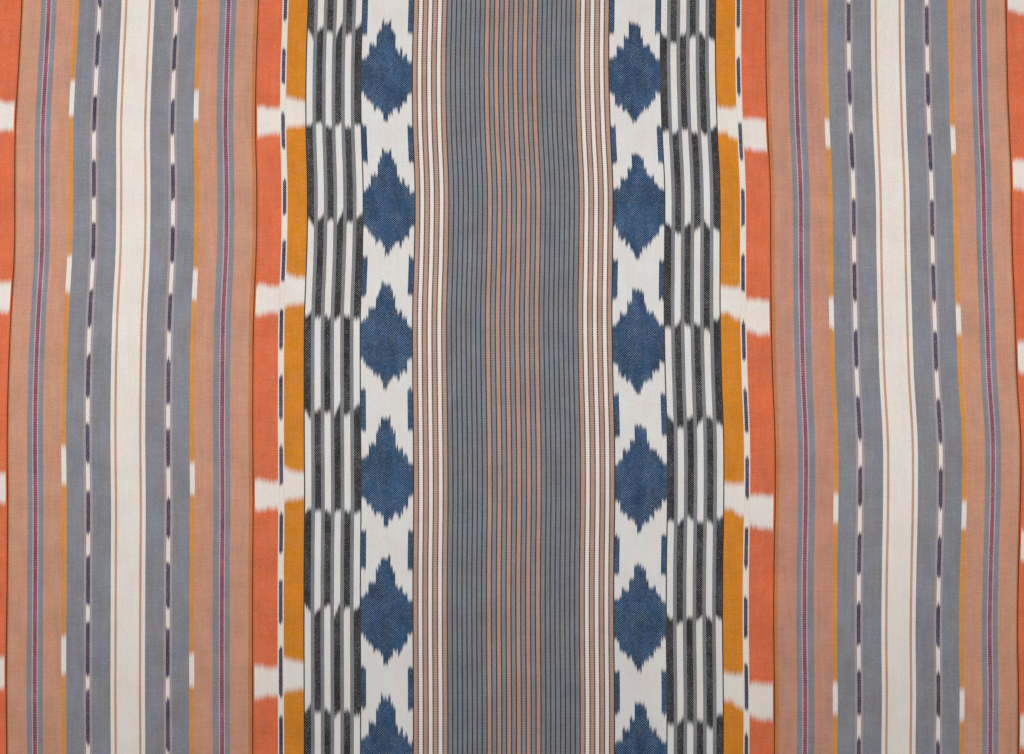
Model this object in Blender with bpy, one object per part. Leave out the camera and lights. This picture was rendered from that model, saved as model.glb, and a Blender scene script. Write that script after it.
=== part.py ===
"""Ikat woven cloth: a cut length of warp ikat, lying face up on a flat surface.

Metres, +Z up. The warp runs along Y and the weft along X. The origin is on the surface under the middle
of the cloth. The sheet touches the surface except where a low ridge or a lifted corner leaves it.
"""
import math

import bmesh
import bpy

# Driving dimensions
END_PITCH = 0.000480  # one warp end to the next, across the cloth
ENDS = 1145  # warp ends from selvedge to selvedge
CLOTH_WIDTH = ENDS * END_PITCH  # 0.550 m
CLOTH_LENGTH = 0.400  # along the warp, cut end to cut end
THICKNESS = 0.0012
CELL = 0.012  # size of a grid cell of the sheet

# The warp doesn't run quite straight. Every WARP_STEP from +Y to -Y, in millimetres along X: how far all of
# it has moved, how far it has spread to both sides, and how far both sides have bent one way. The last two
# are given at WARP_SIDE from the middle of the cloth.
WARP_STEP = 0.025
WARP_SIDE = 0.200
WARP_SHIFTS = [
    (-0.35, -0.5, 0.3),
    (-0.65, -0.8, 0.7),
    (-0.95, -1.0, 1.0),
    (-1.35, -0.6, 1.0),
    (-0.95, -0.1, 0.2),
    (0.05, 0.0, -0.5),
    (-0.15, -0.1, 0.0),
    (-0.65, 0.6, 0.3),
    (-0.4, 1.0, -0.1),
    (0.05, 1.5, 0.0),
    (0.15, 0.9, -0.1),
    (-0.15, 0.2, -0.2),
    (-0.15, -0.3, -0.5),
    (0.05, -0.5, -0.6),
    (0.05, -1.1, -0.6),
    (-0.15, -0.9, -0.4),
    (-0.35, -0.6, -0.2),
]

# The cut ends aren't quite straight
CUT_BOW = 0.0016  # the middle of an end stands out past its corners
CUT_WAVE = 0.0007
CUT_WAVE_LENGTH = 0.170
CUT_WAVE_SHIFT = {1: 0.030, -1: 0.055}  # along X, for the end at +Y and the end at -Y

# Low soft ridges: middle, bearing from +X in degrees, half length, half width and height
RIDGES = [
    {"x": -0.165, "y": 0.020, "bearing": 82, "half_length": 0.150, "half_width": 0.044, "height": 0.0016},
    {"x": 0.045, "y": 0.085, "bearing": 100, "half_length": 0.090, "half_width": 0.040, "height": 0.0009},
    {"x": 0.160, "y": -0.060, "bearing": 74, "half_length": 0.120, "half_width": 0.046, "height": 0.0018},
    {"x": -0.050, "y": -0.175, "bearing": 96, "half_length": 0.060, "half_width": 0.036, "height": 0.0024},
    {"x": 0.235, "y": 0.090, "bearing": 8, "half_length": 0.070, "half_width": 0.034, "height": 0.0026},
    {"x": -0.245, "y": -0.110, "bearing": 172, "half_length": 0.062, "half_width": 0.032, "height": 0.0024},
]

# Corners that lift off the surface: side along X, side along Y, reach and height
LIFTED_CORNERS = [
    {"side_x": 1, "side_y": -1, "reach": 0.085, "height": 0.0042},
    {"side_x": -1, "side_y": 1, "reach": 0.070, "height": 0.0030},
    {"side_x": 1, "side_y": 1, "reach": 0.055, "height": 0.0018},
]

# Look of the whole cloth, seen from far enough for its stripes to merge
CLOTH_COLOUR = (0.42, 0.33, 0.28, 1.0)
CLOTH_ROUGHNESS = 0.92


def soft_hump(distance):
    """1 at the middle and 0 from a distance of 1 outwards, with no crease at either."""
    if abs(distance) >= 1.0:
        return 0.0
    return math.cos(0.5 * math.pi * distance) ** 2


def smooth_between(before, start, stop, after, part):
    """Point at part, from 0 to 1, of a curve from start to stop that runs on smoothly past both."""
    rise = stop - start
    slope = (stop - before) / 2
    last_slope = (after - start) / 2
    bend = 3 * rise - 2 * slope - last_slope
    return start + part * (slope + part * (bend + part * (slope + last_slope - 2 * rise)))


def warp_shift(x, y):
    """How far the warp end at x has moved along X at the height y of the cloth."""
    last = len(WARP_SHIFTS) - 1
    place = min(max(last / 2 - y / WARP_STEP, 0.0), last)
    row = min(int(place), last - 1)
    rows = [WARP_SHIFTS[min(max(row + step, 0), last)] for step in (-1, 0, 1, 2)]
    moved, spread, bent = [smooth_between(*terms, place - row) for terms in zip(*rows)]
    side = x / WARP_SIDE
    return 0.001 * (moved + spread * side + bent * side * side)


def cut_shift(x, side_y):
    """How far a cut end stands out past its straight line, at x."""
    bow = CUT_BOW * soft_hump(2.0 * x / CLOTH_WIDTH)
    wave = CUT_WAVE * math.sin(2.0 * math.pi * (x - CUT_WAVE_SHIFT[side_y]) / CUT_WAVE_LENGTH)
    return bow + wave


def ridge_height(ridge, x, y):
    bearing = math.radians(ridge["bearing"])
    along = (x - ridge["x"]) * math.cos(bearing) + (y - ridge["y"]) * math.sin(bearing)
    across = (y - ridge["y"]) * math.cos(bearing) - (x - ridge["x"]) * math.sin(bearing)
    return ridge["height"] * soft_hump(along / ridge["half_length"]) * soft_hump(across / ridge["half_width"])


def corner_height(corner, x, y):
    distance = math.hypot(x - corner["side_x"] * CLOTH_WIDTH / 2, y - corner["side_y"] * CLOTH_LENGTH / 2)
    return corner["height"] * soft_hump(distance / corner["reach"])


def lift(x, y):
    """Height of the cloth's underside above the surface."""
    ridges = sum(ridge_height(ridge, x, y) for ridge in RIDGES)
    corners = sum(corner_height(corner, x, y) for corner in LIFTED_CORNERS)
    return ridges + corners


def cloth_point(across, along):
    """Point of the underside, for across and along from -1 to 1 between the selvedges and the cut ends."""
    x = across * CLOTH_WIDTH / 2
    side_y = 1 if along > 0 else -1
    y = along * (CLOTH_LENGTH / 2 + cut_shift(x, side_y) * abs(along) ** 3)
    return x + warp_shift(x, y), y, lift(x, y)


def make_material():
    material = bpy.data.materials.new("woven_cotton")
    material.use_nodes = True
    shader = material.node_tree.nodes["Principled BSDF"]
    shader.inputs["Base Color"].default_value = CLOTH_COLOUR
    shader.inputs["Roughness"].default_value = CLOTH_ROUGHNESS
    shader.inputs["Metallic"].default_value = 0.0
    return material


def make_cloth(material):
    """The sheet: a grid laid on the surface, thickened upwards."""
    mesh = bpy.data.meshes.new("cloth")
    bm = bmesh.new()
    bmesh.ops.create_grid(
        bm,
        x_segments=round(CLOTH_WIDTH / CELL),
        y_segments=round(CLOTH_LENGTH / CELL),
        size=1.0,
    )
    for vertex in bm.verts:
        vertex.co = cloth_point(vertex.co.x, vertex.co.y)
    bm.to_mesh(mesh)
    bm.free()
    mesh.materials.append(material)
    mesh.shade_smooth()
    cloth = bpy.data.objects.new("cloth", mesh)
    bpy.context.scene.collection.objects.link(cloth)
    solidify = cloth.modifiers.new("thickness", "SOLIDIFY")
    solidify.thickness = THICKNESS
    solidify.offset = 1.0
    return cloth


def main():
    for thing in list(bpy.data.objects):
        bpy.data.objects.remove(thing)
    make_cloth(make_material())


main()
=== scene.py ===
"""Looks of the ikat woven cloth: a striped warp ikat lying face up, seen from almost straight above.

Metres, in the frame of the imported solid: the warp runs along Y, the weft along X, +Z is up. Places along
a warp end are in metres of yarn from the middle of the cloth, growing towards -Y.
"""
import math
import random
from collections import Counter, namedtuple

import bpy
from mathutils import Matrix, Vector


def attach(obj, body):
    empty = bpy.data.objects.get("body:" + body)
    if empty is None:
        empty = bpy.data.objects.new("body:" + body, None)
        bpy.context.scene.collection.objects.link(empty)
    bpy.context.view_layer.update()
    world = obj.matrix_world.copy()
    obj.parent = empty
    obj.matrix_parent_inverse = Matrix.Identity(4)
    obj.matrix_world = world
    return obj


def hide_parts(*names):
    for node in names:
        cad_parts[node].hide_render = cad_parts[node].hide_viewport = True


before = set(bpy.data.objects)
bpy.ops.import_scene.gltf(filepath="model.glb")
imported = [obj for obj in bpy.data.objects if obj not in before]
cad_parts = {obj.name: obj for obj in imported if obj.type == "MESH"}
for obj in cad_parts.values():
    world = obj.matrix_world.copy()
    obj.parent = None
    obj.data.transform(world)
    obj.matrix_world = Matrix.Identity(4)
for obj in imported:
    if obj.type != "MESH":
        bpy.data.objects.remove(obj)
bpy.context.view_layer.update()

MM = 0.001

# Cloth sizes, as in the solid
END_PITCH = 0.000480
CLOTH_LENGTH = 0.400
WARP_STEP = 0.025
WARP_SIDE = 0.200
WARP_SHIFTS = [
    (-0.35, -0.5, 0.3),
    (-0.65, -0.8, 0.7),
    (-0.95, -1.0, 1.0),
    (-1.35, -0.6, 1.0),
    (-0.95, -0.1, 0.2),
    (0.05, 0.0, -0.5),
    (-0.15, -0.1, 0.0),
    (-0.65, 0.6, 0.3),
    (-0.4, 1.0, -0.1),
    (0.05, 1.5, 0.0),
    (0.15, 0.9, -0.1),
    (-0.15, 0.2, -0.2),
    (-0.15, -0.3, -0.5),
    (0.05, -0.5, -0.6),
    (0.05, -1.1, -0.6),
    (-0.15, -0.9, -0.4),
    (-0.35, -0.6, -0.2),
]
CUT_BOW, CUT_WAVE, CUT_WAVE_LENGTH = 0.0016, 0.0007, 0.170
CUT_WAVE_SHIFT = {1: 0.030, -1: 0.055}
RIDGES = [
    {"x": -0.165, "y": 0.020, "bearing": 82, "half_length": 0.150, "half_width": 0.044, "height": 0.0016},
    {"x": 0.045, "y": 0.085, "bearing": 100, "half_length": 0.090, "half_width": 0.040, "height": 0.0009},
    {"x": 0.160, "y": -0.060, "bearing": 74, "half_length": 0.120, "half_width": 0.046, "height": 0.0018},
    {"x": -0.050, "y": -0.175, "bearing": 96, "half_length": 0.060, "half_width": 0.036, "height": 0.0024},
    {"x": 0.235, "y": 0.090, "bearing": 8, "half_length": 0.070, "half_width": 0.034, "height": 0.0026},
    {"x": -0.245, "y": -0.110, "bearing": 172, "half_length": 0.062, "half_width": 0.032, "height": 0.0024},
]
LIFTED_CORNERS = [
    {"side_x": 1, "side_y": -1, "reach": 0.085, "height": 0.0042},
    {"side_x": -1, "side_y": 1, "reach": 0.070, "height": 0.0030},
    {"side_x": 1, "side_y": 1, "reach": 0.055, "height": 0.0018},
]

# The weave
PICK_PITCH = 0.0004545  # one weft pick to the next, along the warp
CLOTH_THICKNESS = 0.0007
YARN_STRETCH = 0.083  # per metre: the warp is let out a little more towards -Y
BEAT = 0.0012  # the weft is beaten in closer in some places than in others
BEAT_WAVE = 0.150
ROWS = 64  # of faces along the warp
WIDEST_STRIP = 10  # ends in a strip of faces
CLOSED_SHADE = 0.75  # painted shade: how much darker the neighbours' colour is where they close over a single end
BUNDLE = 2  # ends that are tied together for dyeing

# Camera
PHOTO_WIDTH = 1024
PHOTO_SCALE = 0.0003953  # metres of cloth a pixel, in the middle of the photograph
CAMERA_DISTANCE = 0.600
CAMERA_TILT = math.radians(3.2)  # from straight above, towards -Y
CAMERA_AIM_X = -0.00073
SENSOR_WIDTH = 36.0

# Light and floor
WORLD_STRENGTH = 0.254
SOFT_BOX_SIZE = (0.6, 0.2)
SOFT_BOX_WATTS = 0.68
SOFT_BOX_X, SOFT_BOX_Y, SOFT_BOX_Z = 0.33, 0.053, 0.30
WINDOW_SIZE = (1.2, 1.0)
WINDOW_WATTS = 8.08
WINDOW_PLACE = (-0.40, 0.85, 1.0)
FLOOR_SIZE = 4.0
FLOOR_DROP = 0.0004  # how far the floor lies under the cloth


def srgb(red, green, blue):
    """Linear colour of an 8-bit screen colour."""
    def linear(value):
        value /= 255.0
        return value / 12.92 if value <= 0.04045 else ((value + 0.055) / 1.055) ** 2.4
    return linear(red), linear(green), linear(blue)


# Yarn colours, by what a weaver would call them
DYES = {
    "white": srgb(226, 217, 208),
    "cool_white": srgb(218, 214, 210),
    "pale_pink": srgb(192, 168, 172),
    "pink": srgb(162, 145, 148),
    "slate": srgb(129, 129, 136),
    "deep_slate": srgb(122, 124, 130),
    "grey": srgb(121, 121, 124),
    "peach": srgb(195, 141, 115),
    "rose_peach": srgb(190, 135, 113),
    "faded_peach": srgb(179, 142, 124),
    "mustard": srgb(207, 125, 10),
    "amber": srgb(206, 138, 66),
    "gold": srgb(190, 118, 68),
    "tan": srgb(192, 150, 122),
    "orange": srgb(212, 103, 62),
    "rust": srgb(100, 44, 20),
    "maroon": srgb(136, 70, 86),
    "navy": srgb(60, 57, 79),
    "blue": srgb(30, 63, 95),
    "black": srgb(26, 26, 29),
    "dark": srgb(28, 27, 32),
    "bold_dark": srgb(28, 27, 32),
}
WEFT = srgb(190, 186, 184)
DYE_LOTS = {("peach", "right"): "rose_peach"}  # stripes of a band whose yarn is from another lot

# Warp plan: yarn and number of ends, from the pinstripe panel outwards
Stripe = namedtuple("Stripe", "yarn ends")
BLACK_BAND = [Stripe("black_first", 5), Stripe("grey", 3), Stripe("black_second", 5), Stripe("grey", 3)] * 3
NAVY_LINE = [Stripe("white", 1), Stripe("navy_ikat", 3), Stripe("white", 1)]
MAROON_LINE = [Stripe("pale_pink", 1), Stripe("maroon", 3), Stripe("pale_pink", 1)]
DASH_LINE = [Stripe("pink", 2), Stripe("dash_ikat", 3), Stripe("pink", 2)]
IKAT_BAND = [
    Stripe("blue_ikat", 42),
    Stripe("bold_dark", 1),
    *BLACK_BAND[:-1],
    Stripe("bold_dark", 1),
    Stripe("mustard_ikat", 16),
    *NAVY_LINE,
    Stripe("orange_ikat", 19),
    Stripe("orange", 1),
    Stripe("rust", 1),
]
NEAR_BAND = [
    *IKAT_BAND,
    Stripe("gold", 3),
    Stripe("peach", 15),
    Stripe("slate", 4),
    *MAROON_LINE,
    Stripe("slate", 5),
    Stripe("peach", 15),
    Stripe("thin_ikat", 4),
    Stripe("slate", 14),
    *DASH_LINE,
    Stripe("slate", 15),
]
WHITE_EDGE = [Stripe("white", 3), Stripe("tan", 2)]
WHITE_STRIPE = [*WHITE_EDGE, Stripe("white", 18), *WHITE_EDGE[::-1]]
FAR_BAND = [
    Stripe("slate", 15),
    *DASH_LINE,
    Stripe("slate", 14),
    Stripe("thin_ikat", 4),
    Stripe("peach", 15),
    Stripe("slate", 4),
    *MAROON_LINE,
    Stripe("slate", 4),
    Stripe("peach", 15),
    Stripe("gold", 1),
    *IKAT_BAND[::-1],
]
PINSTRIPE = 3  # ends of colour after each dark end
EDGE_UNITS = ["faded_peach", "white"] * 3 + ["faded_peach"]
SLATE_UNITS = ["deep_slate"] * 8
MIDDLE_UNITS = ["faded_peach", "slate"] * 5 + ["faded_peach"]
PANEL_UNITS = EDGE_UNITS + SLATE_UNITS + MIDDLE_UNITS + SLATE_UNITS + EDGE_UNITS

# Ikat yarns: the colour of the yarn, the colour inside each stretch that a tie marks off, and how sharply
# the dye stops there
Ikat = namedtuple("Ikat", "yarn inside sharp")
IKATS = {
    "blue_ikat": Ikat("cool_white", "blue", 0.45),
    "black_first": Ikat("cool_white", "black", 0.37),
    "black_second": Ikat("cool_white", "black", 0.37),
    "mustard_ikat": Ikat("mustard", "white", 0.30),
    "orange_ikat": Ikat("orange", "white", 0.30),
    "navy_ikat": Ikat("white", "navy", 0.5),
    "thin_ikat": Ikat("amber", "white", 0.3),
    "dash_ikat": Ikat("white", "navy", 0.45),
}

# Where the ties come along the warp, in millimetres of yarn: the starts that show in the photograph, the
# length of each tied stretch, the pitch at which more of them follow on both sides, and how much longer
# each of those that show is
Ties = namedtuple("Ties", "pitch length starts longer", defaults=[()])
TIES = {
    ("blue_ikat", "left"): Ties(54, 43, [-145, -92, -36.5, 15, 70, 124], [-2.4, 1.7, -1.9]),
    ("blue_ikat", "right"): Ties(54, 43, [-145, -91.5, -35, 17, 72, 126], [-1.3, 2.4, -1.5, 0, 0.6]),
    ("blue_ikat", "far_left"): Ties(54, 43, [-25]),
    ("blue_ikat", "far_right"): Ties(54, 43, [2]),
    ("black_first", "left"): Ties(78, 40.5, [-142.5, -64, 11.5, 91], [-0.6, 1.4]),
    ("black_first", "right"): Ties(78, 40.5, [-139.5, -60.5, 15, 94.5], [-0.9, 1.1]),
    ("black_first", "far_left"): Ties(78, 40.5, [2]),
    ("black_first", "far_right"): Ties(78, 40.5, [-20]),
    ("black_second", "left"): Ties(77, 39, [-102, -23.5, 51.5, 129.5], [1.3, -1.7]),
    ("black_second", "right"): Ties(77.5, 40.5, [-100.5, -21, 55, 132.5], [2.1, -1.5]),
    ("black_second", "far_left"): Ties(78, 39.5, [41]),
    ("black_second", "far_right"): Ties(78, 39.5, [19]),
    ("mustard_ikat", "left"): Ties(75, 11.5, [-113.5, -39, 35.5, 111]),
    ("mustard_ikat", "right"): Ties(75.5, 11.7, [-110, -35, 40.5, 116]),
    ("mustard_ikat", "far_left"): Ties(75, 11.5, [-35]),
    ("mustard_ikat", "far_right"): Ties(75, 12, [-22]),
    ("orange_ikat", "left"): Ties(75, 11.3, [-110, -35.5, 39.5, 113.5]),
    ("orange_ikat", "right"): Ties(75, 13.5, [-105.5, -30, 45, 119.5]),
    ("orange_ikat", "far_left"): Ties(74, 12.5, [-112.5, -37, 36, 109.5]),
    ("orange_ikat", "far_right"): Ties(73, 12.8, [-161, -87.5, -13.5, 59.5, 131.5]),
    ("navy_ikat", "left"): Ties(
        26.5,
        17,
        [-160, -134, -108.5, -80, -54, -26, -1, 25.5, 52, 79, 106, 131.5],
        [-1.5, -1.9, -0.9, -0.7, 0.4, -1.1, 0.3, -0.7, 0, 1.6, 2.1, 2.1],
    ),
    ("navy_ikat", "right"): Ties(
        26.5,
        16.8,
        [-157, -130.5, -104, -75.5, -48.5, -21.5, 4, 30, 58, 85.5, 112, 138],
        [-1.2, -1.1, -0.2, -0.4, -0.5, -0.8, 0.7, 0.2, 0, 1, 1.4, 1.4],
    ),
    ("navy_ikat", "far_left"): Ties(26.5, 16.8, [-6]),
    ("navy_ikat", "far_right"): Ties(26.5, 16.8, [1]),
    ("thin_ikat", "left"): Ties(75, 12.5, [-117, -42, 32.5, 108.5]),
    ("thin_ikat", "right"): Ties(75, 12, [-105, -30.5, 44.5, 119.5]),
    ("thin_ikat", "far_left"): Ties(75, 15, [-121, -47.5, 26, 101.5]),
    ("thin_ikat", "far_right"): Ties(75, 11.5, [-102, -27.5, 47.5, 122]),
    ("dash_ikat", "left"): Ties(
        26.5,
        17.2,
        [-139.5, -113.5, -86.5, -60, -32.5, -7, 19, 46, 72, 98.5, 125],
        [-2.2, -1.4, -0.6, -0.7, -1.4, 0.4, -1.1, -0.5, 2.3, 2.7, 2.7],
    ),
    ("dash_ikat", "right"): Ties(
        26.5,
        16.8,
        [-126, -100, -71.5, -45, -18.5, 7, 33.5, 60.5, 88, 114.5, 139.5],
        [-1.7, 0.1, -0.2, -0.5, -1, 0.3, -0.3, 0.2, 0.6, 0.9, 0.9],
    ),
    ("dash_ikat", "far_left"): Ties(
        26.5,
        17.7,
        [-141, -115, -88, -61.5, -34, -9, 17, 43, 69, 96, 121.5],
        [-2.6, -1.4, -0.7, -1.4, -2.2, -0.2, -1.3, 0.7, 3.1, 3.5, 3.7],
    ),
    ("dash_ikat", "far_right"): Ties(
        26.5,
        16.7,
        [-125, -99, -71, -44.5, -17.5, 8, 34.5, 61.5, 88.5, 115, 140.5],
        [-1.6, -0.1, -0.5, -0.4, -0.9, 0.6, 0, 0.2, 1.3, 1, 1],
    ),
}

# Chart of the blue motif, a row for each pair of ends from its -X side to its +X side: where the dye starts
# and stops in the left band and in the right one, in millimetres of yarn from the tip
Chart = namedtuple("Chart", "left_start left_stop right_start right_stop")
BLUE_MOTIF = [
    Chart(16, 31, 15.5, 30.5),
    Chart(15, 32.5, 15, 31.5),
    Chart(14.5, 34.5, 14.5, 35),
    Chart(10, 35, 10.5, 36),
    Chart(10, 36, 11, 36),
    Chart(10.5, 38, 11, 38),
    Chart(5.5, 37.5, 6.5, 38),
    Chart(3, 37.5, 7, 39),
    Chart(0, 39.5, 1, 41),
    Chart(1, 43, 1, 43),
    Chart(1, 43, 1, 43),
    Chart(0, 40.5, 1.5, 40.5),
    Chart(3.5, 40, 2.5, 39),
    Chart(5.5, 38, 7, 38.5),
    Chart(11, 38, 10, 37.5),
    Chart(13, 39.5, 10.5, 37.5),
    Chart(11.5, 37.5, 10, 35),
    Chart(14.5, 35.5, 12.5, 34),
    Chart(14.5, 35.5, 13.5, 34),
    Chart(17, 31.5, 15.5, 30.5),
    Chart(17.5, 31, 15.5, 30.5),
]
BLUE_DASH_ENDS = 17  # ends from the middle, past which a short dash is dyed between the motifs
BLUE_DASH_START, BLUE_DASH_STOP = -10.6, 5.4

# The same bundles of yarn are tied at every repeat, so the edges of a stripe step or slant alike at all of
# its ties. In millimetres, from -X to +X: for a wide stripe, how far each pair of ends is off at the start
# and at the stop; for the black stripes, how far each is off, and by how much an end it slants.
WIDE_EDGES = {
    ("mustard_ikat", "left"): (
        [-1, -0.5, -0.3, 0, 0.4, 0.5, 0.5, 0.7],
        [0.7, 0, 0.2, 0, 0, -0.1, -0.4, -0.5],
    ),
    ("mustard_ikat", "right"): (
        [-0.3, 0, 0, 0.2, 0.4, 0.5, 0.4, 0],
        [-1.3, -1.2, -1.4, -1.1, 0.4, 0.8, 1.2, 1.4],
    ),
    ("orange_ikat", "left"): (
        [-0.3, -0.4, -0.3, -0.2, 0.1, 0.4, 0.4, 0.4, 0.3, 0.2],
        [0.8, 0.7, 0.5, 0.4, 0, -0.3, -0.2, -0.2, -0.2, -0.1],
    ),
    ("orange_ikat", "right"): (
        [0.2, -0.1, -0.1, 0, 0, 0.2, 0.4, 0.5, 0.6, 0.4],
        [-1.1, -0.7, -0.6, 0, 0.3, 0.4, 0.4, 0.4, 0.3, 0.8],
    ),
}
Slant = namedtuple("Slant", "start start_slant stop stop_slant")
BLACK_EDGES = {
    "left": [
        Slant(-0.7, -0.4, 0.4, 0.8),
        Slant(0.6, -0.5, -0.5, 0.0),
        Slant(0.2, 0.2, -0.4, -0.1),
        Slant(0.4, -1.2, -0.2, -0.4),
        Slant(0.2, 0.2, 0.5, -0.3),
        Slant(-0.4, -0.4, 0.2, 0.0),
    ],
    "right": [
        Slant(0.1, 0.4, 0.0, 0.0),
        Slant(0.6, -0.5, 1.4, 0.0),
        Slant(-0.2, -0.2, -0.7, 0.2),
        Slant(0.9, 0.1, -0.6, -0.4),
        Slant(0.1, 0.6, 1.0, 0.3),
        Slant(-1.1, -0.2, -0.1, 0.4),
    ],
}

# What is left to chance at each dyed edge, in millimetres: half of it for a pair of ends, half for each end
RAGGED = {"blue_ikat": 0.8, "black_first": 0.7, "black_second": 0.7}
RAGGED_ELSE = 0.4
POINTED = 0.6  # millimetres by which the outer ends of a navy dash start later and stop earlier


def soft_hump(distance):
    """1 at the middle and 0 from a distance of 1 outwards, with no crease at either."""
    if abs(distance) >= 1.0:
        return 0.0
    return math.cos(0.5 * math.pi * distance) ** 2


def smooth_between(before, start, stop, after, part):
    """Point at part, from 0 to 1, of a curve from start to stop that runs on smoothly past both."""
    rise = stop - start
    slope = (stop - before) / 2
    last_slope = (after - start) / 2
    bend = 3 * rise - 2 * slope - last_slope
    return start + part * (slope + part * (bend + part * (slope + last_slope - 2 * rise)))


def warp_shift(x, y):
    last = len(WARP_SHIFTS) - 1
    place = min(max(last / 2 - y / WARP_STEP, 0.0), last)
    row = min(int(place), last - 1)
    rows = [WARP_SHIFTS[min(max(row + step, 0), last)] for step in (-1, 0, 1, 2)]
    moved, spread, bent = [smooth_between(*terms, place - row) for terms in zip(*rows)]
    side = x / WARP_SIDE
    return MM * (moved + spread * side + bent * side * side)


def cut_shift(x, side_y, width):
    bow = CUT_BOW * soft_hump(2.0 * x / width)
    wave = CUT_WAVE * math.sin(2.0 * math.pi * (x - CUT_WAVE_SHIFT[side_y]) / CUT_WAVE_LENGTH)
    return bow + wave


def ridge_height(ridge, x, y):
    bearing = math.radians(ridge["bearing"])
    along = (x - ridge["x"]) * math.cos(bearing) + (y - ridge["y"]) * math.sin(bearing)
    across = (y - ridge["y"]) * math.cos(bearing) - (x - ridge["x"]) * math.sin(bearing)
    height = ridge["height"] * soft_hump(along / ridge["half_length"])
    return height * soft_hump(across / ridge["half_width"])


def corner_height(corner, x, y, width):
    distance = math.hypot(x - corner["side_x"] * width / 2, y - corner["side_y"] * CLOTH_LENGTH / 2)
    return corner["height"] * soft_hump(distance / corner["reach"])


def cloth_point(x, along, width):
    """Point of the underside: x is on the straight cloth, along goes from -1 to 1 between the cut ends."""
    side_y = 1 if along > 0 else -1
    y = along * (CLOTH_LENGTH / 2 + cut_shift(x, side_y, width) * abs(along) ** 3)
    ridges = sum(ridge_height(ridge, x, y) for ridge in RIDGES)
    corners = sum(corner_height(corner, x, y, width) for corner in LIFTED_CORNERS)
    return x + warp_shift(x, y), y, ridges + corners


def yarn_place(y):
    """Metres of warp yarn from the middle of the cloth to y, growing towards -Y."""
    return BEAT * math.sin(2.0 * math.pi * y / BEAT_WAVE) - y - YARN_STRETCH * y * y


def pinstripes(units):
    """Each unit is a dark end and a few ends of its colour. The outermost dark ends are bolder."""
    stripes = []
    for yarn in units:
        stripes += [Stripe("dark", 1), Stripe(yarn, PINSTRIPE)]
    return [Stripe("bold_dark", 1), *stripes[1:], Stripe("bold_dark", 1)]


def warp_plan():
    """(stripe, place) from the left selvedge to the right one."""
    side = [(stripe, "") for stripe in NEAR_BAND + WHITE_STRIPE]
    side += [(stripe, "far_") for stripe in FAR_BAND + pinstripes(EDGE_UNITS)]
    left = [(stripe, place + "left") for stripe, place in side[::-1]]
    right = [(stripe, place + "right") for stripe, place in side]
    return left + [(stripe, "middle") for stripe in pinstripes(PANEL_UNITS)] + right


def tie_places(ties):
    """(start, how much longer it is) of the stretches of one ikat stripe, over the whole cloth."""
    more = math.ceil(1000.0 * CLOTH_LENGTH / ties.pitch)
    before = [ties.starts[0] - ties.pitch * step for step in range(more, 0, -1)]
    after = [ties.starts[-1] + ties.pitch * step for step in range(1, more + 1)]
    reach = 1000.0 * CLOTH_LENGTH / 2 + ties.pitch
    longer = dict(zip(ties.starts, ties.longer))
    starts = [start for start in before + ties.starts + after if abs(start) < reach]
    return [(start, longer.get(start, 0.0)) for start in starts]


def blue_stretches(end, across, place, ties):
    """Dyed stretches of an end of the blue band, across ends from the middle of its motifs."""
    row = BLUE_MOTIF[end // BUNDLE]
    start, stop = row[:2] if place.endswith("left") else row[2:]
    stretches = []
    for tip, longer in tie_places(ties):
        scale = 1.0 + longer / ties.length
        stretches.append((tip + start * scale, tip + stop * scale))
        if abs(across) >= BLUE_DASH_ENDS:
            stretches.append((tip + BLUE_DASH_START, tip + BLUE_DASH_STOP))
    return stretches


def edges_off(name, place, order, end, across):
    """How far the start and the stop of every stretch of an end are off, by the charts above."""
    side = "left" if place.endswith("left") else "right"
    if name.startswith("black"):
        slant = BLACK_EDGES[side][order]
        return slant.start + slant.start_slant * across, slant.stop + slant.stop_slant * across
    if (name, side) in WIDE_EDGES:
        starts, stops = WIDE_EDGES[name, side]
        return starts[end // BUNDLE], stops[end // BUNDLE]
    return 0.0, 0.0


def plain_stretches(name, place, order, end, across, half_ends, ties):
    """Stretches of an end of any other ikat stripe. The navy dashes are pointed."""
    start_off, stop_off = edges_off(name, place, order, end, across)
    if name in ("navy_ikat", "dash_ikat"):
        start_off = POINTED * (across / half_ends) ** 2
        stop_off = -start_off
    return [
        (start + start_off, start + ties.length + longer + stop_off)
        for start, longer in tie_places(ties)
    ]


# A strip of faces along the whole cloth: its first and last end, the colour of its yarn, the colour inside
# its dyed stretches (for a single end, its neighbours' colour in painted shade), those stretches, how
# sharply the dye stops, and how far the neighbours close over a single end where it dips
Strip = namedtuple("Strip", "first last yarn inside stretches sharp closes")
# How far the neighbours, in their painted-shade colour, close over a single end where it dips, by its yarn
CLOSES = {"dark": 0.55, "bold_dark": 0.20, "rust": 0.15, "orange": 0.20, "pale_pink": 0.45, "white": 0.40}
CLOSES_ELSE = 0.80


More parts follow.
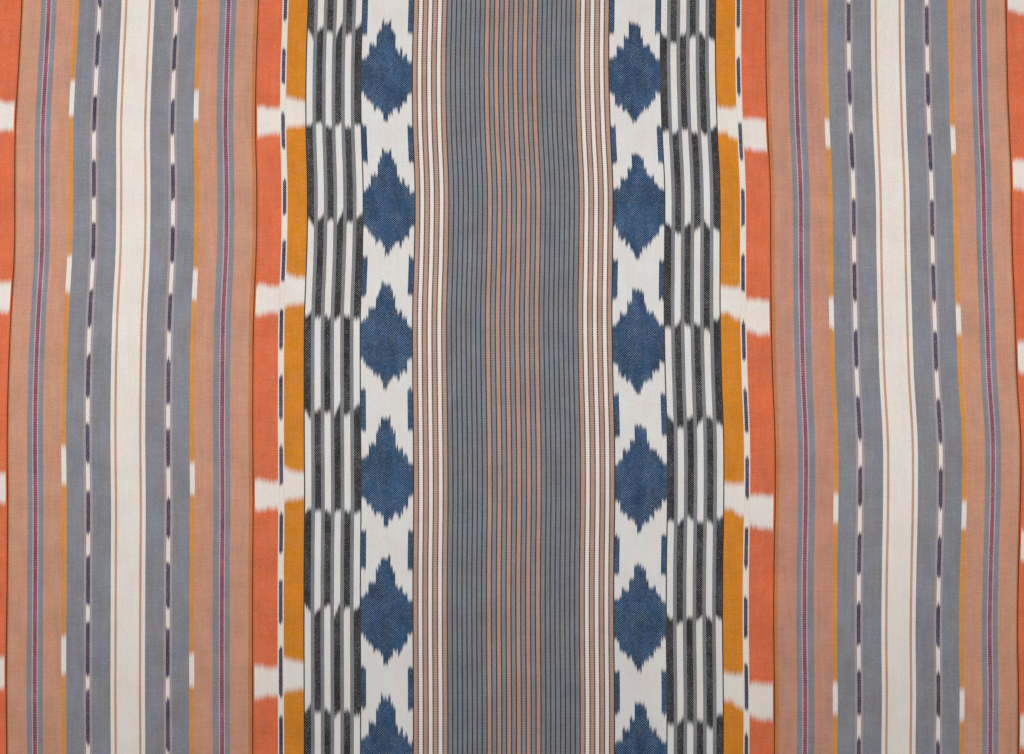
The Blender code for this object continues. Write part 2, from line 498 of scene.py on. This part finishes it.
def stripe_strips(first, stripe, place, order, shaded_neighbours, rng):
    """Splits a stripe into strips of faces.

    order is its number among the black stripes of its band, beside the mean colour of its neighbours in
    painted shade.
    """
    if stripe.ends == 1:
        closes = CLOSES.get(stripe.yarn, CLOSES_ELSE)
        return [Strip(first, first + 1, DYES[stripe.yarn], shaded_neighbours, [], 1.0, closes)]
    if stripe.yarn not in IKATS:
        colour = DYES[DYE_LOTS.get((stripe.yarn, place), stripe.yarn)]
        parts = math.ceil(stripe.ends / WIDEST_STRIP)
        edges = [first + round(stripe.ends * part / parts) for part in range(parts + 1)]
        return [Strip(a, b, colour, colour, [], 1.0, 0.0) for a, b in zip(edges, edges[1:])]
    name = stripe.yarn
    ikat = IKATS[name]
    ties = TIES[name, place]
    share = RAGGED.get(name, RAGGED_ELSE) / 2
    middle = (stripe.ends - 1) / 2
    strips = []
    for end in range(stripe.ends):
        if name == "blue_ikat":
            stretches = blue_stretches(end, end - middle, place, ties)
        else:
            stretches = plain_stretches(name, place, order, end, end - middle, middle, ties)
        if end % BUNDLE == 0:
            offs = [[rng.uniform(-share, share) for _ in range(2)] for _ in stretches]
        stretches = [
            tuple(edge + off + rng.uniform(-share, share) for edge, off in zip(stretch, pair))
            for stretch, pair in zip(stretches, offs)
        ]
        yarn, inside = DYES[ikat.yarn], DYES[ikat.inside]
        strips.append(Strip(first + end, first + end + 1, yarn, inside, stretches, ikat.sharp, 0.0))
    return strips


def shaded_neighbour_colour(plan, number):
    """Mean colour of the yarns next to a stripe, darkened by CLOSED_SHADE as painted shade between two
    ends.
    """
    near = [plan[other][0].yarn for other in (number - 1, number + 1) if 0 <= other < len(plan)]
    colours = [DYES[IKATS[yarn].yarn if yarn in IKATS else yarn] for yarn in near]
    return tuple(CLOSED_SHADE * sum(parts) / len(parts) for parts in zip(*colours))


def warp_strips():
    rng = random.Random(41)
    plan = warp_plan()
    strips = []
    first = 0
    black_stripes = Counter()
    for number, (stripe, place) in enumerate(plan):
        order = black_stripes[place]
        strips += stripe_strips(first, stripe, place, order, shaded_neighbour_colour(plan, number), rng)
        first += stripe.ends
        black_stripes[place] += stripe.yarn.startswith("black")
    return strips


def nearest_edge(strip, place):
    """(place of the nearest dyed edge in picks, how sharp it is: below 0 where the dye lies before it)."""
    edges = [(start, strip.sharp) for start, _ in strip.stretches]
    edges += [(stop, -strip.sharp) for _, stop in strip.stretches]
    if not edges:
        return 0.0, 0.0
    edge, side = min(edges, key=lambda one: abs(one[0] - place))
    return edge * MM / PICK_PITCH, side


def make_cloth_mesh():
    """A closed thin sheet: strips of faces along the warp, above and below, and a rim."""
    strips = warp_strips()
    ends = strips[-1].last
    width = ends * END_PITCH
    lines = [0] + [strip.last for strip in strips]
    columns, rows = len(strips), ROWS
    layer = (columns + 1) * (rows + 1)
    points = []
    coordinates = []
    for line in lines:
        x = line * END_PITCH - width / 2
        for row in range(rows + 1):
            point = cloth_point(x, 1.0 - 2.0 * row / rows, width)
            points.append(point)
            coordinates.append((float(line), yarn_place(point[1]) / PICK_PITCH))
    points = [(x, y, z + CLOTH_THICKNESS) for x, y, z in points] + points

    def index(column, row, under):
        return under * layer + column * (rows + 1) + row

    faces = []
    strip_of_face = []
    for column in range(columns):
        for row in range(rows):
            corners = [(column, row), (column, row + 1), (column + 1, row + 1), (column + 1, row)]
            faces.append([index(c, r, 0) for c, r in corners])
            faces.append([index(c, r, 1) for c, r in reversed(corners)])
            strip_of_face += [(column, row)] * 2
        for row, step in ((0, 1), (rows, -1)):
            rim = [(column, 0), (column + 1, 0), (column + 1, 1), (column, 1)][::step]
            faces.append([index(c, row, under) for c, under in reversed(rim)])
            strip_of_face.append((column, min(row, rows - 1)))
    for column, step in ((0, 1), (columns, -1)):
        for row in range(rows):
            rim = [(row, 0), (row + 1, 0), (row + 1, 1), (row, 1)][::step]
            faces.append([index(column, r, under) for r, under in rim][::-1])
            strip_of_face.append((min(column, columns - 1), row))
    mesh = bpy.data.meshes.new("ikat_cloth")
    mesh.from_pydata(points, [], faces)
    mark_faces(mesh, strips, strip_of_face, coordinates, rows)
    mark_corners(mesh, coordinates, layer, ends)
    mesh.shade_smooth()
    mesh.set_sharp_from_angle(angle=math.radians(50))
    mesh.validate()
    return mesh, width


def mark_faces(mesh, strips, strip_of_face, coordinates, rows):
    """Each face carries the two colours of its yarn and the dyed edge that is nearest to it."""
    yarn = mesh.attributes.new("yarn", "FLOAT_VECTOR", "FACE")
    inside = mesh.attributes.new("inside", "FLOAT_VECTOR", "FACE")
    tie = mesh.attributes.new("tie", "FLOAT_VECTOR", "FACE")
    yarns, insides, ties = [], [], []
    for column, row in strip_of_face:
        strip = strips[column]
        corner = column * (rows + 1) + row
        place = 0.5 * (coordinates[corner][1] + coordinates[corner + 1][1])
        edge, side = nearest_edge(strip, place * PICK_PITCH / MM)
        yarns += strip.yarn
        insides += strip.inside
        ties += (edge, side, strip.closes)
    yarn.data.foreach_set("vector", yarns)
    inside.data.foreach_set("vector", insides)
    tie.data.foreach_set("vector", ties)


def mark_corners(mesh, coordinates, layer, ends):
    """Two maps: ends and picks for the weave, and a flat layout with the upper side above the lower."""
    weave = mesh.uv_layers.new(name="weave")
    layout = mesh.uv_layers.new(name="OFBake")
    picks = [place for _, place in coordinates]
    low, high = min(picks), max(picks)
    upper_share, margin = 0.73, 0.003
    for corner, loop in enumerate(mesh.loops):
        end, pick = coordinates[loop.vertex_index % layer]
        weave.data[corner].uv = (end, pick)
        across = margin + (1 - 2 * margin) * end / ends
        along = (high - pick) / (high - low)
        if loop.vertex_index < layer:
            layout.data[corner].uv = (across, 1 - margin - (upper_share - 2 * margin) * (1 - along))
        else:
            layout.data[corner].uv = (across, margin + (1 - upper_share - 3 * margin) * along)


class Nodes:
    """Short calls that add and link the nodes of one material."""

    def __init__(self, name):
        self.material = bpy.data.materials.new(name)
        self.material.use_nodes = True
        self.tree = self.material.node_tree
        self.shader = self.tree.nodes["Principled BSDF"]

    def add(self, kind, inputs=(), **settings):
        node = self.tree.nodes.new(kind)
        for name, value in settings.items():
            setattr(node, name, value)
        for key, value in dict(inputs).items():
            self.set(node.inputs[key], value)
        return node

    def set(self, socket, value):
        if isinstance(value, bpy.types.NodeSocket):
            self.tree.links.new(value, socket)
        else:
            socket.default_value = value

    def calc(self, operation, *values, clamp=False):
        node = self.add("ShaderNodeMath", enumerate(values), operation=operation, use_clamp=clamp)
        return node.outputs[0]

    def fade(self, value, low, high, to_low=0.0, to_high=1.0):
        """Goes smoothly from one number to another while value goes from low to high."""
        inputs = {"Value": value, "From Min": low, "From Max": high, "To Min": to_low, "To Max": to_high}
        return self.add("ShaderNodeMapRange", inputs, interpolation_type="SMOOTHSTEP").outputs["Result"]

    def mix(self, factor, one, other, blend="MIX"):
        """Mixes two colours."""
        node = self.add("ShaderNodeMix", data_type="RGBA", blend_type=blend)
        for socket, value in ((node.inputs[0], factor), (node.inputs[6], one), (node.inputs[7], other)):
            self.set(socket, value)
        return node.outputs[2]

    def point(self, x, y=0.0, z=0.0):
        return self.add("ShaderNodeCombineXYZ", enumerate((x, y, z))).outputs[0]

    def noise(self, point, scale, detail=2.0):
        inputs = {"Vector": point, "Scale": scale, "Detail": detail}
        return self.add("ShaderNodeTexNoise", inputs, noise_dimensions="2D").outputs["Fac"]

    def chance(self, point):
        """A number from 0 to 1 that is the same wherever the point is the same."""
        node = self.add("ShaderNodeTexWhiteNoise", {"Vector": point}, noise_dimensions="2D")
        return node.outputs["Value"]


# Numbers of the cloth's material. Lightness is that of the yarn's colour, from 0 to 1. Four numbers
# together are a change: it starts and stops at the first two, and goes from the third to the fourth.
DARK_TO_MID = (0.03, 0.20)  # lightness
MID_TO_PALE = (0.38, 0.66)  # lightness
DIP_ROUND = 0.7  # share of its depth that a dip has lost where the next float starts
SLIP_BLOCK = 9.0  # picks: dyed edges of one end that are this close together slip alike
SLIP = (0.30, 0.45, 1.0, 2.2)  # picks of slip, by how sharp the edge is
DYE_FADE = (-1.2, 1.4)  # picks past an edge times its sharpness: from no dye to full dye
PALE_UNEVEN = 0.25  # pale yarn shows this share of the unevenness
OPEN_PATCHES = (0.32, 0.68, 0.04, 0.12)  # weft that shows where the ends lie further apart
OPEN_CELLS = (1.2, 0.3)  # times that in a cell: what chance adds, and the least
BARE_CELLS = (0.94, 0.99, 0.0, 0.10)  # weft that a few cells show besides, by chance
CLEAR_PATCHES = (0.30, 0.70, 0.45, 1.75)  # how clear the lattice in the dark dyes is
CLEAR_CELLS = (0.6, 0.7)  # times that in a cell: what chance adds, and the least
LATTICE_WEFT = (0.012, 0.036, 0.12, 0.07)  # weft that shows in it, by lightness
BANDS = (0.2, 0.8, -0.04, 0.04)  # drift of the tone in bands along the warp
CLOUDS = (0.25, 0.75, -0.05, 0.05)  # drift of the tone in patches
DRIFT_DEPTH = (0.20, 0.60, 1.2, 0.45)  # how many times that drift, by lightness
DRIFT_DARK = 3.4  # times more of it in the dark dyes
END_TONE = 0.05  # from one end to another
PICK_TONE = (0.3, 0.7, -0.025, 0.025)  # from one pick to another
YARN_TONE = (0.2, 0.8, -0.03, 0.03)  # thick and thin places of each end
STREAK_TONE = (0.64, 0.80, 0.0, 0.08)  # a few pale streaks along the weft
GRAIN = (0.20, 0.34, 0.10, 0.07)  # from one float to another, by lightness
GRAIN_DARK = 0.10  # more of it in the dark dyes
SHINE = (1.5, -0.4)  # tone of the lattice: what a dip adds, and that of a float
ROUND_SHADE = (-0.08, 1.025)  # painted shade: an end is darker at its sides, where it rounds away towards its neighbours: what its sides add, and that of its middle
LEAN = (0.3, 0.7, -1.0, 1.0)  # from the coolest dye to the warmest
LEAN_PALE = 0.35  # pale yarn leans this much as far
LEAN_RED, LEAN_GREEN, LEAN_BLUE = 0.025, -0.012, -0.06  # in the warmest dye
GREEN_LEAN = (0.3, 0.7, -0.012, 0.012)  # from the purplest dye to the greenest
DIP_DEPTH = -0.65  # what a dip adds to the height of an end
FIBRE_HEIGHT = 0.5
RELIEF = (0.4, 0.22)  # strength of the relief in mid tones and in pale yarn
RELIEF_DISTANCE = 0.00012
ROUGHNESS = (-0.06, 0.78)  # what the height adds, and that of the lowest places
SPECULAR, SHEEN, SHEEN_ROUGHNESS = 0.2, 0.04, 0.5

# Places on the weave, and what the yarn is at each
Cell = namedtuple("Cell", "end pick end_number pick_number across_fall dip")
Yarn = namedtuple("Yarn", "colour lightness wide uneven darkness")


def weave_cells(n):
    """Plain weave: an end lies over the weft at every other pick, and its neighbours at those between."""
    uv = n.add("ShaderNodeUVMap", uv_map="weave").outputs[0]
    end, pick, _ = n.add("ShaderNodeSeparateXYZ", {0: uv}).outputs
    end_number = n.calc("FLOOR", end)
    pick_number = n.calc("FLOOR", pick)
    step = n.calc("FLOORED_MODULO", n.calc("ADD", end_number, pick_number), 2.0)
    across = n.calc("SUBTRACT", n.calc("FRACT", end), 0.5)
    along = n.calc("SUBTRACT", n.calc("FRACT", pick), 0.5)
    across_fall = n.calc("MULTIPLY", n.calc("MULTIPLY", across, across), 4.0)
    along_fall = n.calc("MULTIPLY", n.calc("MULTIPLY", along, along), 4.0)
    dip = n.calc("SUBTRACT", 1.0, n.calc("MULTIPLY", along_fall, DIP_ROUND))
    return Cell(end, pick, end_number, pick_number, across_fall, n.calc("MULTIPLY", step, dip))


def dyed_yarn(n, cell):
    """The yarn's colour, or the colour inside a tied stretch. Neighbours close over a single end, in their
    colour darkened as painted shade.
    """
    yarn = n.add("ShaderNodeAttribute", attribute_name="yarn").outputs["Color"]
    inside = n.add("ShaderNodeAttribute", attribute_name="inside").outputs["Color"]
    tie = n.add("ShaderNodeAttribute", attribute_name="tie").outputs["Vector"]
    edge, side, closes = n.add("ShaderNodeSeparateXYZ", {0: tie}).outputs
    edge_number = n.calc("ROUND", n.calc("DIVIDE", edge, SLIP_BLOCK))
    slip = n.calc("SUBTRACT", n.chance(n.point(cell.end_number, edge_number)), 0.5)
    slip = n.calc("MULTIPLY", slip, n.fade(n.calc("ABSOLUTE", side), *SLIP))
    past_edge = n.calc("SUBTRACT", n.calc("ADD", cell.pick, slip), edge)
    wide = n.calc("SUBTRACT", 1.0, n.calc("SIGN", closes))
    dyed = n.calc("MULTIPLY", n.fade(n.calc("MULTIPLY", past_edge, side), *DYE_FADE), wide)
    colour = n.mix(n.calc("MULTIPLY_ADD", closes, cell.dip, dyed), yarn, inside)
    lightness = n.add("ShaderNodeRGBToBW", {0: colour}).outputs[0]
    uneven = n.fade(lightness, *MID_TO_PALE, 1.0, PALE_UNEVEN)
    darkness = n.calc("MULTIPLY", n.fade(lightness, *DARK_TO_MID, 1.0, 0.0), wide)
    return Yarn(colour, lightness, wide, uneven, darkness)


def weft_flecks(n, cell, yarn):
    """(weft that shows where an end dips, lattice): odd flecks, and a regular lattice in the dark dyes."""
    each_cell = n.chance(n.point(cell.end_number, cell.pick_number))
    open_patches = n.fade(n.noise(n.point(cell.end, cell.pick), 0.09), *OPEN_PATCHES)
    odd = n.calc("MULTIPLY", open_patches, n.calc("MULTIPLY_ADD", each_cell, *OPEN_CELLS))
    odd = n.calc("MULTIPLY", n.calc("ADD", odd, n.fade(each_cell, *BARE_CELLS)), yarn.uneven)
    clear_patches = n.noise(n.point(cell.end, n.calc("MULTIPLY", cell.pick, 0.4)), 0.09, 3.0)
    clear_patches = n.fade(clear_patches, *CLEAR_PATCHES)
    lattice = n.calc("MULTIPLY", clear_patches, n.calc("MULTIPLY_ADD", each_cell, *CLEAR_CELLS))
    lattice = n.calc("MULTIPLY", lattice, yarn.darkness)
    shown = n.calc("MULTIPLY", lattice, n.fade(yarn.lightness, *LATTICE_WEFT))
    fleck = n.calc("ADD", shown, n.calc("MULTIPLY", odd, yarn.wide))
    return n.calc("MULTIPLY", fleck, cell.dip, clamp=True), lattice


def slow_drift(n, cell, yarn):
    """Uneven dye: darker and lighter along and across the ends, most in the dark dyes."""
    bands = n.point(n.calc("MULTIPLY", cell.end, 0.18), n.calc("MULTIPLY", cell.pick, 0.03))
    clouds = n.noise(n.point(cell.end, cell.pick), 0.035, 3.0)
    drift = n.calc("ADD", n.fade(n.noise(bands, 1.0), *BANDS), n.fade(clouds, *CLOUDS))
    depth = n.calc("MULTIPLY_ADD", yarn.darkness, DRIFT_DARK, n.fade(yarn.lightness, *DRIFT_DEPTH))
    return n.calc("MULTIPLY", drift, depth)


def fine_grain(n, cell, yarn):
    """Ends, picks and floats that differ from their neighbours, and pale streaks along the weft."""
    each_end = n.calc("SUBTRACT", n.chance(n.point(cell.end_number)), 0.5)
    row = n.point(n.calc("MULTIPLY", cell.end, 0.05), n.calc("MULTIPLY", cell.pick_number, 0.73))
    streak_pick = n.calc("MULTIPLY_ADD", cell.pick_number, 0.91, 300.0)
    streak = n.point(n.calc("MULTIPLY", cell.end, 0.12), streak_pick)
    along_end = n.point(n.calc("MULTIPLY", cell.end_number, 0.71), n.calc("MULTIPLY", cell.pick, 0.022))
    fine = n.calc("MULTIPLY_ADD", each_end, END_TONE, n.fade(n.noise(row, 1.0, 1.0), *PICK_TONE))
    fine = n.calc("ADD", fine, n.fade(n.noise(along_end, 1.0), *YARN_TONE))
    fine = n.calc("ADD", fine, n.fade(n.noise(streak, 1.0, 1.0), *STREAK_TONE))
    fine = n.calc("MULTIPLY", fine, yarn.uneven)
    grain = n.point(n.calc("ADD", cell.end_number, 7000.0), cell.pick_number)
    grain = n.calc("SUBTRACT", n.chance(grain), 0.5)
    coarse = n.calc("MULTIPLY", yarn.uneven, n.fade(yarn.lightness, *GRAIN))
    coarse = n.calc("MULTIPLY_ADD", yarn.darkness, GRAIN_DARK, coarse)
    return n.calc("MULTIPLY_ADD", grain, coarse, fine)


def leaning_tone(n, cell, yarn, tone):
    """Tone of red, green and blue: the dye leans to pink or tan here and there, and to green or purple."""
    lean = n.point(n.calc("MULTIPLY", cell.end, 0.10), n.calc("MULTIPLY", cell.pick, 0.02))
    lean = n.fade(n.noise(lean, 1.0, 1.0), *LEAN)
    lean = n.calc("MULTIPLY", lean, n.fade(yarn.lightness, *MID_TO_PALE, 1.0, LEAN_PALE))
    green_lean = n.noise(n.point(n.calc("MULTIPLY", cell.end, 1.6), cell.pick), 0.04, 1.0)
    green_lean = n.fade(green_lean, *GREEN_LEAN)
    red = n.calc("SUBTRACT", n.calc("MULTIPLY_ADD", lean, LEAN_RED, 1.0), green_lean)
    green = n.calc("ADD", n.calc("MULTIPLY_ADD", lean, LEAN_GREEN, 1.0), green_lean)
    blue = n.calc("MULTIPLY_ADD", lean, LEAN_BLUE, 1.0)
    return n.point(*(n.calc("MULTIPLY", tone, part) for part in (red, green, blue)))


def make_cloth_material():
    """Plain weave of dyed warp ends over a pale weft, with ikat dye that stops at its ties."""
    n = Nodes("woven_cotton")
    cell = weave_cells(n)
    yarn = dyed_yarn(n, cell)
    fleck, lattice = weft_flecks(n, cell, yarn)
    # Painted shade: each end is darker at its rounded sides than along its middle
    tone = n.calc("MULTIPLY_ADD", cell.across_fall, *ROUND_SHADE)
    shine = n.calc("MULTIPLY", lattice, n.calc("MULTIPLY_ADD", cell.dip, *SHINE))
    for part in (slow_drift(n, cell, yarn), fine_grain(n, cell, yarn), shine):
        tone = n.calc("ADD", tone, part)
    colour = n.mix(1.0, yarn.colour, leaning_tone(n, cell, yarn, tone), "MULTIPLY")
    n.set(n.shader.inputs["Base Color"], n.mix(fleck, colour, (*WEFT, 1.0)))

    # Round yarns stand up where they float and dip where they pass under
    crown = n.calc("SUBTRACT", 1.0, cell.across_fall)
    height = n.calc("MULTIPLY", crown, n.calc("MULTIPLY_ADD", cell.dip, DIP_DEPTH, 1.0))
    fibres = n.noise(n.point(cell.end, cell.pick), 0.35)
    height = n.calc("ADD", height, n.calc("MULTIPLY", fibres, FIBRE_HEIGHT))
    relief = n.fade(yarn.lightness, *MID_TO_PALE, *RELIEF)
    bump = n.add("ShaderNodeBump", {"Strength": relief, "Distance": RELIEF_DISTANCE, "Height": height})
    n.set(n.shader.inputs["Normal"], bump.outputs[0])
    n.set(n.shader.inputs["Roughness"], n.calc("MULTIPLY_ADD", height, *ROUGHNESS))
    n.shader.inputs["Specular IOR Level"].default_value = SPECULAR
    n.shader.inputs["Sheen Weight"].default_value = SHEEN
    n.shader.inputs["Sheen Roughness"].default_value = SHEEN_ROUGHNESS
    return n.material


def make_floor_material():
    n = Nodes("pale_floor")
    place = n.add("ShaderNodeTexCoord").outputs["Object"]
    cloud = n.noise(place, 3.0, 3.0)
    n.set(n.shader.inputs["Base Color"], n.mix(cloud, (0.70, 0.70, 0.69, 1.0), (0.76, 0.76, 0.75, 1.0)))
    n.shader.inputs["Roughness"].default_value = 0.8
    return n.material


def make_cloth():
    mesh, width = make_cloth_mesh()
    mesh.materials.append(make_cloth_material())
    cloth = bpy.data.objects.new("ikat_cloth", mesh)
    bpy.context.scene.collection.objects.link(cloth)
    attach(cloth, "root")
    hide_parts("cloth")
    return cloth


def make_floor():
    mesh = bpy.data.meshes.new("floor")
    half = FLOOR_SIZE / 2
    corners = [(-half, -half, 0), (half, -half, 0), (half, half, 0), (-half, half, 0)]
    mesh.from_pydata(corners, [], [(0, 1, 2, 3)])
    mesh.materials.append(make_floor_material())
    floor = bpy.data.objects.new("floor", mesh)
    floor.location.z = -FLOOR_DROP
    bpy.context.scene.collection.objects.link(floor)


def make_camera():
    """Looks down at the middle of the cloth, a little from the side of -Y."""
    data = bpy.data.cameras.new("camera")
    data.sensor_width = SENSOR_WIDTH
    data.lens = SENSOR_WIDTH * CAMERA_DISTANCE / (PHOTO_SCALE * PHOTO_WIDTH)
    data.clip_start = 0.01
    camera = bpy.data.objects.new("camera", data)
    camera.location = (
        CAMERA_AIM_X,
        -CAMERA_DISTANCE * math.sin(CAMERA_TILT),
        CAMERA_DISTANCE * math.cos(CAMERA_TILT) + CLOTH_THICKNESS,
    )
    camera.rotation_euler = (CAMERA_TILT, 0.0, 0.0)
    bpy.context.scene.collection.objects.link(camera)
    bpy.context.scene.camera = camera


def add_soft_light(name, size, watts, place, aim):
    """A rectangle of light, size along X and Y before it turns towards aim."""
    data = bpy.data.lights.new(name, "AREA")
    data.shape = "RECTANGLE"
    data.size, data.size_y = size
    data.energy = watts
    light = bpy.data.objects.new(name, data)
    light.location = place
    light.rotation_euler = (Vector(aim) - Vector(place)).to_track_quat("-Z", "Y").to_euler()
    light.visible_camera = False
    bpy.context.scene.collection.objects.link(light)


def make_light():
    """Even light from all round, two soft boxes over the cloth, and a window past its +Y end."""
    world = bpy.data.worlds.new("studio")
    world.use_nodes = True
    background = world.node_tree.nodes["Background"]
    background.inputs["Color"].default_value = (1.0, 1.0, 1.0, 1.0)
    background.inputs["Strength"].default_value = WORLD_STRENGTH
    bpy.context.scene.world = world
    for x in (-SOFT_BOX_X, SOFT_BOX_X):
        place, aim = (x, SOFT_BOX_Y, SOFT_BOX_Z), (x, SOFT_BOX_Y, 0.0)
        add_soft_light("soft_box", SOFT_BOX_SIZE, SOFT_BOX_WATTS, place, aim)
    add_soft_light("window", WINDOW_SIZE, WINDOW_WATTS, WINDOW_PLACE, (0.0, 0.0, 0.0))
    bpy.context.scene.view_settings.view_transform = "Standard"
    bpy.context.scene.cycles.use_denoising = False


make_camera()
make_light()
make_floor()
make_cloth()
